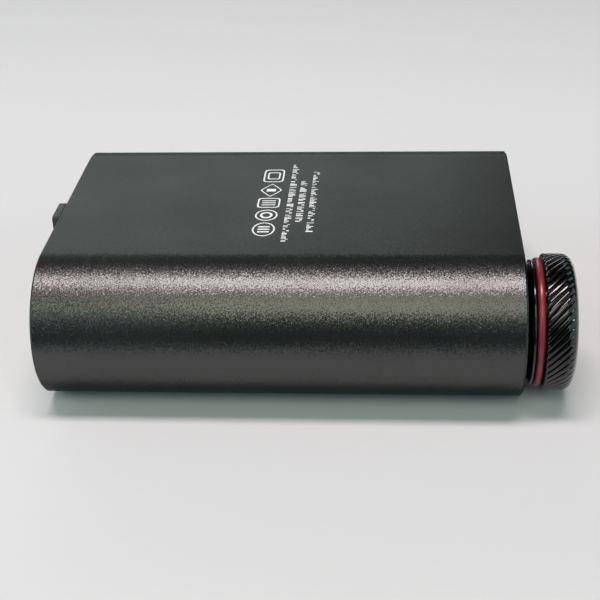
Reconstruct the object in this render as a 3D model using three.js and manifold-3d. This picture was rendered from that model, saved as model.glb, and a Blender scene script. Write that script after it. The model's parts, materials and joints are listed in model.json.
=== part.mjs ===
// A pocket-size desktop USB converter and headphone amplifier.
// An extruded aluminium sleeve with half-round sides holds a circuit board between two inset end panels.
// The volume knob stands on the front panel, concentric with one of the half-round sides.
//
// Frame, in millimetres: +X points out of the front panel, +Z up. The case lies on its cover face, so its
// printed base looks up and the board hangs its components towards the surface below.
// The origin is the centre of the face that the case lies on.
import * as THREE from "three";
import { mergeVertices } from "three/addons/utils/BufferGeometryUtils.js";
import Module from "manifold-3d";

// ---------------------------------------------------------------- driving dimensions
const BODY_LENGTH = 72; // along X
const BODY_WIDTH = 58; // along Y
const BODY_HEIGHT = 22.6; // along Z, and the diameter of the half-round sides
const WALL = 1.6;
const ARC_STEPS = 12; // each half-round gets twice this many facets

const PANEL_THICK = 2;
const PANEL_RECESS = 0.4; // the panels sit this far inside the sleeve's ends
const PANEL_GAP = 0.3; // all round, between a panel and the sleeve
const SEAT = 0.1; // between faces that rest on each other

const SCREW_Y = 24.9; // the two screws of each panel, on the middle plane
const SCREW_RADIUS = 0.95;
const SCREW_HEAD_RADIUS = 1.8;
const SCREW_LENGTH = 7;
const BOSS_RADIUS = 2;
const PILOT_RADIUS = 1.25;

const BOARD_FACE_Z = 16.4; // the component side looks down
const BOARD_THICK = 1.6;
const BOARD_LENGTH = 65;
const BOARD_WIDTH = 48.2;
const RAIL_DEPTH = 2.6;
const RAIL_HEIGHT = 1.1;

const KNOB_Y = -18; // close to the centre of the half-round side
const KNOB_RADIUS = 10.25;
const KNOB_GROOVES = 50;
const GROOVE_DEPTH = 0.3;
const GROOVE_TWIST = THREE.MathUtils.degToRad(13.5); // over the knurl's length

const OPTICAL_Y = 13.6;
const PLUG_GRIP = 6.1; // how far the dust plug stands out of the sleeve's end
const COAX_Y = 3;
const LINE_OUT_Y = -5.3;
const MODE_SWITCH_Y = -10.6;
const USB_Y = -17.6;
const USB_Z = 14.65; // its shell hangs against the board

const HEADPHONE_Y = 18.2;
const BALANCED_Y = 9.6;
const GAIN_Y = 2.4;
const BASS_Y = -4.6;

// ---------------------------------------------------------------- places worked out from them
const MID_Z = BODY_HEIGHT / 2;
const END_X = BODY_LENGTH / 2;
const PANEL_FACE_X = END_X - PANEL_RECESS;
const PANEL_BACK_X = PANEL_FACE_X - PANEL_THICK;
const BOSS_END_X = PANEL_BACK_X - SEAT;
const SIDE_CENTRE_Y = (BODY_WIDTH - BODY_HEIGHT) / 2;
const INNER_RADIUS = MID_Z - WALL;
const PART_TOP_Z = BOARD_FACE_Z - SEAT; // the board side of anything soldered to it

// ---------------------------------------------------------------- finishes
function finish(color, roughness, metalness) {
  return new THREE.MeshStandardMaterial({ color, roughness, metalness });
}

const FINISH = {
  shell: finish(0x4a4c4b, 0.5, 0.7),
  panel: finish(0x3a3c3c, 0.5, 0.7),
  knob: finish(0x0b0b0c, 0.22, 0.6),
  accent: finish(0x9c3a40, 0.45, 0.5),
  steel: finish(0x8d8f91, 0.35, 0.9),
  blackSteel: finish(0x1a1a1b, 0.4, 0.8),
  gold: finish(0xc9a24a, 0.3, 0.9),
  blackPlastic: finish(0x141415, 0.5, 0),
  whitePlastic: finish(0xe4e2da, 0.5, 0),
  orangePlastic: finish(0xd8782a, 0.5, 0),
  rubber: finish(0x1c1d1d, 0.75, 0),
  board: finish(0x1d3b2c, 0.55, 0),
  chip: finish(0x1b1b1d, 0.6, 0),
  can: finish(0xa9abad, 0.35, 0.8),
};

// ---------------------------------------------------------------- solids and booleans
const wasm = await Module();
wasm.setup();

function toSolid(geometry) {
  const flat = geometry.index ? geometry.toNonIndexed() : geometry;
  const bare = new THREE.BufferGeometry();
  bare.setAttribute("position", flat.getAttribute("position"));
  const merged = mergeVertices(bare, 1e-4);
  const mesh = new wasm.Mesh({
    numProp: 3,
    vertProperties: merged.attributes.position.array,
    triVerts: new Uint32Array(merged.index.array),
  });
  return new wasm.Manifold(mesh);
}

function toGeometry(solid) {
  const mesh = solid.getMesh();
  const geometry = new THREE.BufferGeometry();
  geometry.setAttribute("position", new THREE.BufferAttribute(mesh.vertProperties, 3));
  geometry.setIndex(new THREE.BufferAttribute(mesh.triVerts, 1));
  geometry.computeVertexNormals();
  return geometry;
}

function join(...geometries) {
  const [first, ...rest] = geometries.map(toSolid);
  return toGeometry(rest.reduce((whole, piece) => whole.add(piece), first));
}

function cut(geometry, ...tools) {
  return toGeometry(tools.reduce((whole, tool) => whole.subtract(toSolid(tool)), toSolid(geometry)));
}

function clip(geometry, limit) {
  return toGeometry(toSolid(geometry).intersect(toSolid(limit)));
}

// ---------------------------------------------------------------- plain shapes, all along X
function block(x0, x1, y0, y1, z0, z1) {
  const geometry = new THREE.BoxGeometry(x1 - x0, y1 - y0, z1 - z0);
  return geometry.translate((x0 + x1) / 2, (y0 + y1) / 2, (z0 + z1) / 2);
}

// A block centred on the X axis.
function bar(x0, x1, width, height) {
  return block(x0, x1, -width / 2, width / 2, -height / 2, height / 2);
}

function rod(x0, x1, radius, steps = 24, y = 0, z = 0) {
  const geometry = new THREE.CylinderGeometry(radius, radius, x1 - x0, steps);
  return geometry.rotateZ(-Math.PI / 2).translate((x0 + x1) / 2, y, z);
}

// A solid turned about the X axis from a profile of [x, radius] points, walked so that its faces look out.
function turned(profile, steps = 24) {
  let area = 0;
  profile.forEach(([x, r], i) => {
    const [nextX, nextR] = profile[(i + 1) % profile.length];
    area += x * nextR - nextX * r;
  });
  const walked = area > 0 ? [...profile].reverse() : profile;
  const geometry = new THREE.LatheGeometry(walked.map(([x, r]) => new THREE.Vector2(r, x)), steps);
  const axes = new THREE.Matrix4().makeBasis(
    new THREE.Vector3(0, 1, 0),
    new THREE.Vector3(1, 0, 0),
    new THREE.Vector3(0, 0, -1),
  );
  return geometry.applyMatrix4(axes);
}

function ring(x0, x1, outer, inner, steps = 24) {
  return turned([[x0, inner], [x1, inner], [x1, outer], [x0, outer], [x0, inner]], steps);
}

// A flat outline in the Y-Z plane, extruded along X.
function slab(shape, x0, x1) {
  const geometry = new THREE.ExtrudeGeometry(shape, {
    depth: x1 - x0,
    bevelEnabled: false,
    curveSegments: ARC_STEPS,
  });
  const axes = new THREE.Matrix4().makeBasis(
    new THREE.Vector3(0, 1, 0),
    new THREE.Vector3(0, 0, 1),
    new THREE.Vector3(1, 0, 0),
  );
  return geometry.applyMatrix4(axes).translate(x0, 0, 0);
}

// The case's section, two half-rounds joined by flats, drawn smaller by an inset.
function section(inset) {
  const shape = new THREE.Shape();
  const radius = MID_Z - inset;
  shape.absarc(SIDE_CENTRE_Y, 0, radius, -Math.PI / 2, Math.PI / 2, false);
  shape.absarc(-SIDE_CENTRE_Y, 0, radius, Math.PI / 2, Math.PI * 1.5, false);
  shape.closePath();
  return shape;
}

function roundedBox(width, height, radius) {
  const shape = new THREE.Shape();
  const y = width / 2 - radius;
  const z = height / 2 - radius;
  shape.absarc(y, z, radius, 0, Math.PI / 2, false);
  shape.absarc(-y, z, radius, Math.PI / 2, Math.PI, false);
  shape.absarc(-y, -z, radius, Math.PI, Math.PI * 1.5, false);
  shape.absarc(y, -z, radius, Math.PI * 1.5, Math.PI * 2, false);
  shape.closePath();
  return shape;
}

// ---------------------------------------------------------------- assembly helpers
function piece(name, geometry, material, x = 0, y = 0, z = 0) {
  const mesh = new THREE.Mesh(geometry, material);
  mesh.name = name;
  mesh.position.set(x, y, z);
  return mesh;
}

function assembly(y, z, ...children) {
  const group = new THREE.Group();
  group.position.set(0, y, z);
  group.add(...children);
  return group;
}

// ---------------------------------------------------------------- sleeve
function sleeve() {
  const outer = slab(section(0), -END_X, END_X);
  const inner = slab(section(WALL), -END_X - 1, END_X + 1);
  const tube = cut(outer, inner);

  // Ribs above and below the board's edges, and screw bosses on the middle plane, milled back for the panels.
  const boardMid = BOARD_FACE_Z + BOARD_THICK / 2 - MID_Z;
  const clearance = BOARD_THICK / 2 + 0.25;
  const extras = [];
  for (const side of [-1, 1]) {
    const wall = SIDE_CENTRE_Y + Math.sqrt(INNER_RADIUS ** 2 - boardMid ** 2);
    const near = side * (wall - RAIL_DEPTH);
    const far = side * (wall + WALL * 1.4);
    const [y0, y1] = near < far ? [near, far] : [far, near];
    for (const foot of [boardMid - clearance - RAIL_HEIGHT, boardMid + clearance]) {
      extras.push(block(-BOSS_END_X, BOSS_END_X, y0, y1, foot, foot + RAIL_HEIGHT));
    }
    extras.push(rod(-BOSS_END_X, BOSS_END_X, BOSS_RADIUS, 16, side * SCREW_Y));
    const web = [side * SCREW_Y, side * (BODY_WIDTH / 2 - WALL / 2)].sort((a, b) => a - b);
    extras.push(block(-BOSS_END_X, BOSS_END_X, web[0], web[1], -1.2, 1.2));
  }
  const fitted = clip(join(...extras), slab(section(WALL / 2), -END_X, END_X));
  const pilots = [-1, 1].map((side) => rod(-END_X, END_X, PILOT_RADIUS, 16, side * SCREW_Y));
  return assembly(0, MID_Z, piece("outer_shell", cut(join(tube, fitted), ...pilots), FINISH.shell));
}

// ---------------------------------------------------------------- end panels
// Both panels are drawn at the front end; the rear one is turned round Z to face the other way.
function panelBlank() {
  const plate = slab(section(WALL + PANEL_GAP), PANEL_BACK_X, PANEL_FACE_X);
  const screwHoles = [-1, 1].map((side) => screwHole().translate(0, side * SCREW_Y, 0));
  return cut(plate, ...screwHoles);
}

function screwHole() {
  const shank = SCREW_RADIUS + 0.3;
  const head = SCREW_HEAD_RADIUS + 0.2;
  return turned([
    [PANEL_BACK_X - 1, 0],
    [PANEL_BACK_X - 1, shank],
    [PANEL_FACE_X - 1.1, shank],
    [PANEL_FACE_X - 0.25, head],
    [PANEL_FACE_X + 1, head],
    [PANEL_FACE_X + 1, 0],
  ], 16);
}

// A countersunk screw with a hexagon socket, its head 0.15 below the panel's face.
function panelScrew() {
  const top = PANEL_FACE_X - 0.15;
  const body = turned([
    [top - SCREW_LENGTH, 0],
    [top - SCREW_LENGTH, SCREW_RADIUS * 0.6],
    [top - SCREW_LENGTH + 0.8, SCREW_RADIUS],
    [top - 1.1, SCREW_RADIUS],
    [top - 0.25, SCREW_HEAD_RADIUS],
    [top, SCREW_HEAD_RADIUS],
    [top, 0],
  ], 16);
  return cut(body, rod(top - 0.8, top + 1, 0.8, 6));
}

function screwPair(end) {
  return [-1, 1].map((side, i) => {
    return piece(`${end}_screw_${i + 1}`, panelScrew(), FINISH.blackSteel, 0, side * SCREW_Y);
  });
}

function frontPanel() {
  const through = [PANEL_BACK_X - 1, END_X];
  const slots = [GAIN_Y, BASS_Y].map((y) => slab(roundedBox(4.4, 1.9, 0.6), ...through).translate(0, y, 0));
  const holes = [
    rod(...through, 3.3, 24, KNOB_Y),
    rod(...through, 3.2, 24, HEADPHONE_Y),
    rod(...through, 2.7, 24, BALANCED_Y),
    ...slots,
  ];
  const plate = piece("front_panel", cut(panelBlank(), ...holes), FINISH.panel);
  return assembly(0, MID_Z, plate, ...screwPair("front"));
}

function rearPanel() {
  const through = [PANEL_BACK_X - 1, END_X];
  const holes = [
    slab(roundedBox(10.1, 10.1, 0.5), ...through).translate(0, -OPTICAL_Y, 0),
    rod(...through, 5.2, 32, -COAX_Y),
    rod(...through, 2.7, 24, -LINE_OUT_Y),
    slab(roundedBox(1.9, 4.4, 0.6), ...through).translate(0, -MODE_SWITCH_Y, 0),
    slab(roundedBox(9.5, 3.8, 1.6), ...through).translate(0, -USB_Y, USB_Z - MID_Z),
  ];
  const plate = piece("rear_panel", cut(panelBlank(), ...holes), FINISH.panel);
  const end = assembly(0, MID_Z, plate, ...screwPair("rear"));
  end.rotation.z = Math.PI;
  return end;
}

// ---------------------------------------------------------------- volume knob and its potentiometer
// Radii of the knob's outside, along X from the panel to the nose.
const KNOB = {
  backX: 36.2,
  collarEndX: 37.5,
  ringEndX: 38.65,
  knurlX: 38.85,
  noseX: 41.5,
  frontX: 43.4,
  collarRadius: 9.4,
  ringRadius: 9.65,
  spigotRadius: 7.2,
  cavityRadius: 6.4,
  noseDepth: 1.95,
};

// The knurled cap: every second column of vertices is a groove, and the columns lean along the knurl.
function knurledCap() {
  const nose = [0, 0.25, 0.5, 0.75, 1].map((t) => {
    const angle = (t * Math.PI) / 2;
    const x = KNOB.noseX + (KNOB.frontX - KNOB.noseX) * Math.cos(angle);
    return [x, KNOB_RADIUS - KNOB.noseDepth * (1 - Math.sin(angle))];
  });
  const rings = [
    [KNOB.frontX, 0, 0, 1],
    ...nose.map(([x, r], i) => [x, r, i === 4 ? 1 : i === 3 ? 0.6 : 0, 1]),
    [(KNOB.noseX + KNOB.knurlX) / 2, KNOB_RADIUS, 1, 0.5],
    [KNOB.knurlX + 0.2, KNOB_RADIUS, 1, 0],
    [KNOB.knurlX, KNOB_RADIUS - 0.35, 0, 0],
    [KNOB.knurlX, 0, 0, 0],
  ];
  const columns = 2 * KNOB_GROOVES;
  const geometry = turned(rings, columns);
  const position = geometry.getAttribute("position");
  const point = new THREE.Vector3();
  for (let i = 0; i < position.count; i++) {
    point.fromBufferAttribute(position, i);
    const radius = Math.hypot(point.y, point.z);
    const here = ([x, r]) => Math.abs(x - point.x) < 1e-4 && Math.abs(r - radius) < 1e-4;
    const [, , groove, lean] = rings.find(here);
    const column = Math.round((Math.atan2(point.z, point.y) / (2 * Math.PI)) * columns);
    const depth = column % 2 === 0 ? GROOVE_DEPTH * groove : 0;
    const angle = (column / columns) * 2 * Math.PI + GROOVE_TWIST * (0.5 - lean);
    position.setXYZ(i, point.x, (radius - depth) * Math.cos(angle), (radius - depth) * Math.sin(angle));
  }
  return geometry;
}

function volumeControl() {
  const spigot = rod(KNOB.backX + 0.3, KNOB.knurlX + 0.5, KNOB.spigotRadius, 48);
  const hollow = turned([
    [KNOB.backX - 1, 0],
    [KNOB.backX - 1, KNOB.cavityRadius],
    [KNOB.knurlX + 2, KNOB.cavityRadius],
    [KNOB.knurlX + 2, 3.6],
    [38, 3.6],
    [38, 0],
  ], 32);
  const shaftBore = rod(37, 42, 1.7);
  const cap = cut(join(knurledCap(), spigot), hollow, shaftBore);

  const collar = turned([
    [KNOB.backX, KNOB.spigotRadius + 0.15],
    [KNOB.backX, KNOB.collarRadius - 1.35],
    [KNOB.backX + 1.2, KNOB.collarRadius],
    [KNOB.collarEndX, KNOB.collarRadius],
    [KNOB.collarEndX, KNOB.spigotRadius + 0.15],
    [KNOB.backX, KNOB.spigotRadius + 0.15],
  ], 48);
  const accent = turned([
    [KNOB.collarEndX + SEAT, KNOB.spigotRadius + 0.15],
    [KNOB.collarEndX + SEAT, KNOB.ringRadius - 0.2],
    [KNOB.collarEndX + 0.3, KNOB.ringRadius],
    [KNOB.ringEndX - 0.2, KNOB.ringRadius],
    [KNOB.ringEndX, KNOB.ringRadius - 0.2],
    [KNOB.ringEndX, KNOB.spigotRadius + 0.15],
    [KNOB.collarEndX + SEAT, KNOB.spigotRadius + 0.15],
  ], 48);

  // The shaft carries the wiper disc inside the potentiometer's body.
  const shaft = rod(27.4, 41.8, 1.5);
  const wiper = ring(28, 29.2, 3.6, 1.6);
  const wiperHub = cut(shaft, block(38.5, 43, 0.9, 3, -3, 3));

  const bodyDepth = [25, 31.8];
  const body = cut(
    block(...bodyDepth, -4.7, 4.7, -4.9, PART_TOP_Z - MID_Z),
    rod(26.6, 33, 4),
  );
  const plate = cut(
    join(block(31.9, 32.8, -4.7, 4.7, -4.9, PART_TOP_Z - MID_Z), rod(32.4, 37.4, 3)),
    rod(30, 40, 1.75),
  );
  const nut = cut(rod(PANEL_FACE_X + 0.5, PANEL_FACE_X + 1.9, 4.6, 6), rod(35, 38, 3.2));
  const washer = ring(PANEL_FACE_X + SEAT, PANEL_FACE_X + 0.4, 5.2, 3.2);

  return assembly(
    KNOB_Y,
    MID_Z,
    piece("volume_knob", cap, FINISH.knob),
    piece("knob_collar", collar, FINISH.knob),
    piece("knob_accent_ring", accent, FINISH.accent),
    piece("volume_shaft", wiperHub, FINISH.steel),
    piece("volume_wiper", wiper, FINISH.gold),
    piece("volume_pot_body", body, FINISH.blackPlastic),
    piece("volume_pot_bushing", plate, FINISH.steel),
    piece("volume_nut", nut, FINISH.steel),
    piece("volume_washer", washer, FINISH.steel),
  );
}

// ---------------------------------------------------------------- sockets
// A round jack: a body with a blind bore, and the metal collar that shows in the panel.
function roundJack(name, y, end, { bore, collar, width, depth }) {
  const front = PANEL_BACK_X - 0.3;
  const body = cut(
    block(front - depth, front, -width / 2, width / 2, -4.9, PART_TOP_Z - MID_Z),
    rod(front - depth + 1.2, front + 1, bore + 0.1),
  );
  const lip = turned([
    [front + SEAT, bore],
    [front + SEAT, collar],
    [PANEL_FACE_X, collar],
    [PANEL_FACE_X + 0.3, collar - 0.3],
    [PANEL_FACE_X + 0.3, bore + 0.25],
    [PANEL_FACE_X, bore],
    [front + SEAT, bore],
  ]);
  const jack = assembly(
    y,
    MID_Z,
    piece(`${name}_body`, body, FINISH.blackPlastic),
    piece(`${name}_collar`, lip, FINISH.gold),
  );
  jack.rotation.z = end === "rear" ? Math.PI : 0;
  return jack;
}

function usbSocket() {
  const mouth = PANEL_FACE_X - 0.2;
  const shell = cut(
    slab(roundedBox(8.94, 3.16, 1.5), mouth - 8, mouth),
    slab(roundedBox(8.34, 2.56, 1.2), mouth - 7.2, mouth + 1),
  );
  const tongue = bar(mouth - 7, mouth - 0.6, 6.7, 0.7);
  const socket = assembly(
    USB_Y,
    USB_Z,
    piece("usb_socket_shell", shell, FINISH.steel),
    piece("usb_socket_tongue", tongue, FINISH.blackPlastic),
  );
  socket.rotation.z = Math.PI;
  return socket;
}

// The optical outlet, its emitter at the bottom of the well, and the pull-out dust plug in its mouth.
function opticalSocket() {
  const mouth = PANEL_FACE_X + 0.4;
  const well = 8.2;
  const body = cut(
    block(mouth - 13.5, mouth, -4.85, 4.85, -4.85, PART_TOP_Z - MID_Z),
    block(mouth - 10.5, mouth + 1, -well / 2, well / 2, -well / 2, well / 2),
  );
  const emitter = join(rod(mouth - 10.4, mouth - 9.8, 2.4), rod(mouth - 9.9, mouth - 9, 1.2));
  const nose = bar(mouth - 3.4, mouth + 0.3, 7.6, 7.6);
  const flange = slab(roundedBox(9.2, 9.2, 0.8), mouth + 0.2, mouth + 1.3);
  const grip = slab(roundedBox(6, 6.6, 0.5), mouth + 1.2, END_X + PLUG_GRIP);
  const socket = assembly(
    OPTICAL_Y,
    MID_Z,
    piece("optical_socket_body", body, FINISH.blackPlastic),
    piece("optical_emitter", emitter, FINISH.whitePlastic),
    piece("optical_dust_plug", join(nose, flange, grip), FINISH.rubber),
  );
  socket.rotation.z = Math.PI;
  return socket;
}

// The coaxial outlet: a barrel in a well, filled by an insulator with the centre contact in it.
function coaxSocket() {
  const root = PANEL_FACE_X - 6.5;
  const mouth = PANEL_FACE_X + 1.2;
  const body = block(root - 9, root, -5, 5, -4.9, PART_TOP_Z - MID_Z);
  const barrel = join(ring(root + SEAT, root + 0.9, 4.7, 3.6, 32), ring(root + SEAT, mouth, 4.15, 3.6, 32));
  const insulator = ring(root + 0.2, mouth - 0.3, 3.45, 1.95, 32);
  const contact = cut(rod(root + 0.2, mouth - 0.8, 1.8), rod(root + 1.5, mouth, 1.35));
  const socket = assembly(
    COAX_Y,
    MID_Z,
    piece("coax_socket_body", body, FINISH.blackPlastic),
    piece("coax_barrel", barrel, FINISH.gold),
    piece("coax_insulator", insulator, FINISH.orangePlastic),
    piece("coax_contact", contact, FINISH.gold),
  );
  socket.rotation.z = Math.PI;
  return socket;
}

// ---------------------------------------------------------------- slide switches
// The slider rests at one end of its slot and travels 2 mm along the slot. Across is the slot's direction.
const SWITCH_TRAVEL = 2;

function slideSwitch(name, y, end, across) {
  const front = PANEL_BACK_X - 0.4;
  const along = across === "y" ? [6.4, 3.6] : [3.6, 6.4];
  const slot = across === "y" ? [4.2, 1.7] : [1.7, 4.2];
  const lever = across === "y" ? [1.8, 1.3] : [1.3, 1.8];
  const foot = across === "y" ? [3, 2.4] : [2.4, 3];
  const room = across === "y" ? [5.4, 2.8] : [2.8, 5.4];
  const start = -SWITCH_TRAVEL / 2;
  const [startY, startZ] = across === "y" ? [start, 0] : [0, start];
  const housing = join(
    bar(front - 4, front, ...along),
    block(front - 4, front, -along[0] / 2, along[0] / 2, 0, PART_TOP_Z - MID_Z),
  );
  const body = cut(housing, bar(front - 3, front - 0.9, ...room), bar(front - 2, front + 1, ...slot));
  const slider = join(
    bar(front - 2.7, front - 1.1, ...foot),
    bar(front - 1.3, PANEL_FACE_X + 0.7, ...lever),
  );
  const group = assembly(
    y,
    MID_Z,
    piece(`${name}_switch_body`, body, FINISH.blackPlastic),
    piece(`${name}_switch_slider`, slider, FINISH.blackPlastic, 0, startY, startZ),
  );
  group.rotation.z = end === "rear" ? Math.PI : 0;
  return group;
}

// ---------------------------------------------------------------- circuit board and what it carries
// A box-shaped component, soldered to the board's lower face.
function chip(name, x, y, length, width, height, material = FINISH.chip) {
  const geometry = new THREE.BoxGeometry(length, width, height);
  return piece(name, geometry, material, x, y, PART_TOP_Z - height / 2);
}

// An electrolytic capacitor: a square base and a round can.
function capacitor(name, x, y, radius = 3.1, height = 7) {
  const base = new THREE.BoxGeometry(2 * radius + 0.4, 2 * radius + 0.4, 1).translate(0, 0, -0.5);
  const can = new THREE.CylinderGeometry(radius, radius, height - 0.8, 20).rotateX(Math.PI / 2);
  can.translate(0, 0, -0.8 - (height - 0.8) / 2);
  return piece(name, join(base, can), FINISH.can, x, y, PART_TOP_Z);
}

function circuitBoard() {
  const plate = new THREE.BoxGeometry(BOARD_LENGTH, BOARD_WIDTH, BOARD_THICK);
  const board = new THREE.Group();
  board.add(
    piece("main_board", plate, FINISH.board, 0, 0, BOARD_FACE_Z + BOARD_THICK / 2),
    chip("usb_controller_chip", -15, -14, 9, 9, 1),
    chip("converter_chip", 0, 2, 6.5, 4.4, 1.1),
    chip("filter_amplifier_chip", 9.5, 2, 5, 4, 1.6),
    chip("headphone_amplifier_chip_1", 12, 13, 5, 5, 1),
    chip("headphone_amplifier_chip_2", 15, -5, 5, 5, 1),
    chip("regulator_chip", -14, 18, 6.5, 3.5, 1.7),
    chip("clock_crystal_1", -6.5, -7, 3.2, 2.5, 0.9, FINISH.can),
    chip("clock_crystal_2", -6.5, 10, 3.2, 2.5, 0.9, FINISH.can),
    chip("power_inductor", -15, -3, 5.5, 5.5, 3.2),
    capacitor("capacitor_1", -3, -16),
    capacitor("capacitor_2", 5, -16),
    capacitor("capacitor_3", 13, -16),
    capacitor("capacitor_4", -3, 17),
    capacitor("capacitor_5", 5, 17),
  );
  return board;
}

// ---------------------------------------------------------------- the whole object
const amplifier = new THREE.Group();
amplifier.add(
  sleeve(),
  frontPanel(),
  rearPanel(),
  volumeControl(),
  roundJack("headphone_jack", HEADPHONE_Y, "front", { bore: 1.8, collar: 2.9, width: 8.4, depth: 13 }),
  roundJack("balanced_jack", BALANCED_Y, "front", { bore: 1.3, collar: 2.4, width: 6.6, depth: 11 }),
  roundJack("line_out_jack", LINE_OUT_Y, "rear", { bore: 1.8, collar: 2.5, width: 6, depth: 12 }),
  slideSwitch("gain", GAIN_Y, "front", "y"),
  slideSwitch("bass", BASS_Y, "front", "y"),
  slideSwitch("usb_mode", MODE_SWITCH_Y, "rear", "z"),
  usbSocket(),
  opticalSocket(),
  coaxSocket(),
  circuitBoard(),
);

export default amplifier;
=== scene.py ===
"""Looks for a pocket desktop converter: a round-sided sleeve, a knurled knob, end panels, sockets and board.

Lengths are written in millimetres and scaled by MM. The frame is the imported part's own: the case lies on its
cover face, +X points out of the front panel and +Z out of the printed base.
"""

import json
import math
import random

import bmesh
import bpy
from mathutils import Matrix, Vector


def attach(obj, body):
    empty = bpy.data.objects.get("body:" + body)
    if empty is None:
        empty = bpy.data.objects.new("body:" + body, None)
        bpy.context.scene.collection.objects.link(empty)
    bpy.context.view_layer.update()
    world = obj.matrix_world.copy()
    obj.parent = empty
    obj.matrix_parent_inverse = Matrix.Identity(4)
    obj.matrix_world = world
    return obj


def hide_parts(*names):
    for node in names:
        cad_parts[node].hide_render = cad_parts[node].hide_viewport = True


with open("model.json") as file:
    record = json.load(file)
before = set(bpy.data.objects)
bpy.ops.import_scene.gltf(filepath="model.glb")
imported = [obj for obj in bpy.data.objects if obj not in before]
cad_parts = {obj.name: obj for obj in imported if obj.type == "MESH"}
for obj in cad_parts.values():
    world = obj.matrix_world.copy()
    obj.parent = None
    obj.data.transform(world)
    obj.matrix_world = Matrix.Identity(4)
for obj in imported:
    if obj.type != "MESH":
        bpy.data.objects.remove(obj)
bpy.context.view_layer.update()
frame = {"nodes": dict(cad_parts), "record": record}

MM = 0.001
rng = random.Random(11)

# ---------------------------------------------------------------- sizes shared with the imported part
END_X = 36.0  # the sleeve's end
MID_Z = 11.3  # the middle plane, and the radius of the half-round sides
SIDE_Y = 17.7  # the centre of each half-round side
WALL = 1.6
PANEL_FACE = 35.6
PANEL_BACK = 33.6
PANEL_GAP = 0.3  # all round, between a panel and the sleeve
PILOT_RADIUS = 1.25  # the holes that the screws pass through
BOARD_LOW = 16.4
BOARD_TOP = 18.0
PART_TOP = BOARD_LOW - 0.1  # whatever is soldered to the board hangs from here
HOUSING_LOW, HOUSING_HIGH = 6.4, 16.3  # the sockets' plastic housings

# Where things stand across the two panels, and which way each panel faces along X.
SCREW_Y = 24.9
KNOB_Y = -18.0
HEADPHONE_Y = 18.2
BALANCED_Y = 9.6
GAIN_Y = 2.4
BASS_Y = -4.6
OPTICAL_Y = 13.6
COAX_Y = 3.0
LINE_OUT_Y = -5.3
MODE_SWITCH_Y = -10.6
USB_Y, USB_Z = -17.6, 14.65
FRONT, REAR = 1, -1

SHARP = 32  # degrees; edges sharper than this stay crisp
ON_AXIS = 1e-5  # stands in for a radius of zero, so that every ring keeps its count of points

# ---------------------------------------------------------------- shader nodes


def add(tree, kind, inputs=None, **settings):
    """A new node; an input given as a socket is linked, any other is set."""
    node = tree.nodes.new(kind)
    for key, value in settings.items():
        setattr(node, key, value)
    for key, value in (inputs or {}).items():
        if isinstance(value, bpy.types.NodeSocket):
            tree.links.new(value, node.inputs[key])
        else:
            node.inputs[key].default_value = value
    return node


def rgba(colour):
    """An opaque colour."""
    return (colour[0], colour[1], colour[2], 1.0)


def shaded(colour, factor):
    """A colour made darker or lighter."""
    return tuple(min(1.0, c * factor) for c in colour)


def place(tree, stretch=(1, 1, 1)):
    """The point being shaded, in the piece's own space."""
    coords = add(tree, "ShaderNodeTexCoord")
    mapping = add(tree, "ShaderNodeMapping", {"Vector": coords.outputs["Object"], "Scale": stretch})
    return mapping.outputs["Vector"]


def noise(tree, size_mm, where, detail=3.0):
    inputs = {"Vector": where, "Scale": 1 / (size_mm * MM), "Detail": detail, "Roughness": 0.55}
    return add(tree, "ShaderNodeTexNoise", inputs).outputs["Fac"]


def ramp(tree, value, low, high, out_low=0.0, out_high=1.0):
    inputs = {"Value": value, "From Min": low, "From Max": high, "To Min": out_low, "To Max": out_high}
    return add(tree, "ShaderNodeMapRange", inputs).outputs["Result"]


def feed(tree, node, index, value):
    """Links a socket to the numbered input, or sets a plain number on it."""
    if isinstance(value, bpy.types.NodeSocket):
        tree.links.new(value, node.inputs[index])
    else:
        node.inputs[index].default_value = value


def blend(tree, factor, first, second):
    """Mix of two colours; each may be a colour or a socket."""
    node = tree.nodes.new("ShaderNodeMix")
    node.data_type = "RGBA"
    factor_input, colour_inputs, colour_output = 0, (6, 7), 2
    feed(tree, node, factor_input, factor)
    for index, value in zip(colour_inputs, (first, second)):
        feed(tree, node, index, rgba(value) if isinstance(value, tuple) else value)
    return node.outputs[colour_output]


def maths(tree, operation, first, second=0.0):
    node = tree.nodes.new("ShaderNodeMath")
    node.operation = operation
    feed(tree, node, 0, first)
    feed(tree, node, 1, second)
    return node.outputs[0]


def surface(name, colour, rough, metal=0.0, grain=0.2, tint=0.12, relief=0.1, wear=0.06,
            stretch=(1, 1, 1), coat=0.0, depth=0.02, patches=6.0):
    """A procedural finish: fine grain in colour, roughness and relief, over broad uneven patches."""
    material = bpy.data.materials.new(name)
    material.use_nodes = True
    tree = material.node_tree
    shader = tree.nodes["Principled BSDF"]
    where = place(tree, stretch)
    fine = noise(tree, grain, where)
    broad = noise(tree, patches, place(tree), detail=2.0)
    grainy = blend(tree, ramp(tree, fine, 0.3, 0.7), shaded(colour, 1 - tint), shaded(colour, 1 + tint))
    patchy = blend(tree, ramp(tree, broad, 0.35, 0.7, 0.0, 0.35), grainy, shaded(colour, 1 - tint))
    tree.links.new(patchy, shader.inputs["Base Color"])
    mixed = maths(tree, "ADD", maths(tree, "MULTIPLY", fine, 0.6), maths(tree, "MULTIPLY", broad, 0.4))
    tree.links.new(ramp(tree, mixed, 0.3, 0.7, rough - wear, rough + wear), shader.inputs["Roughness"])
    shader.inputs["Metallic"].default_value = metal
    shader.inputs["Coat Weight"].default_value = coat
    bump = add(tree, "ShaderNodeBump", {"Height": fine, "Strength": relief, "Distance": depth * MM})
    tree.links.new(bump.outputs["Normal"], shader.inputs["Normal"])
    return material


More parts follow.
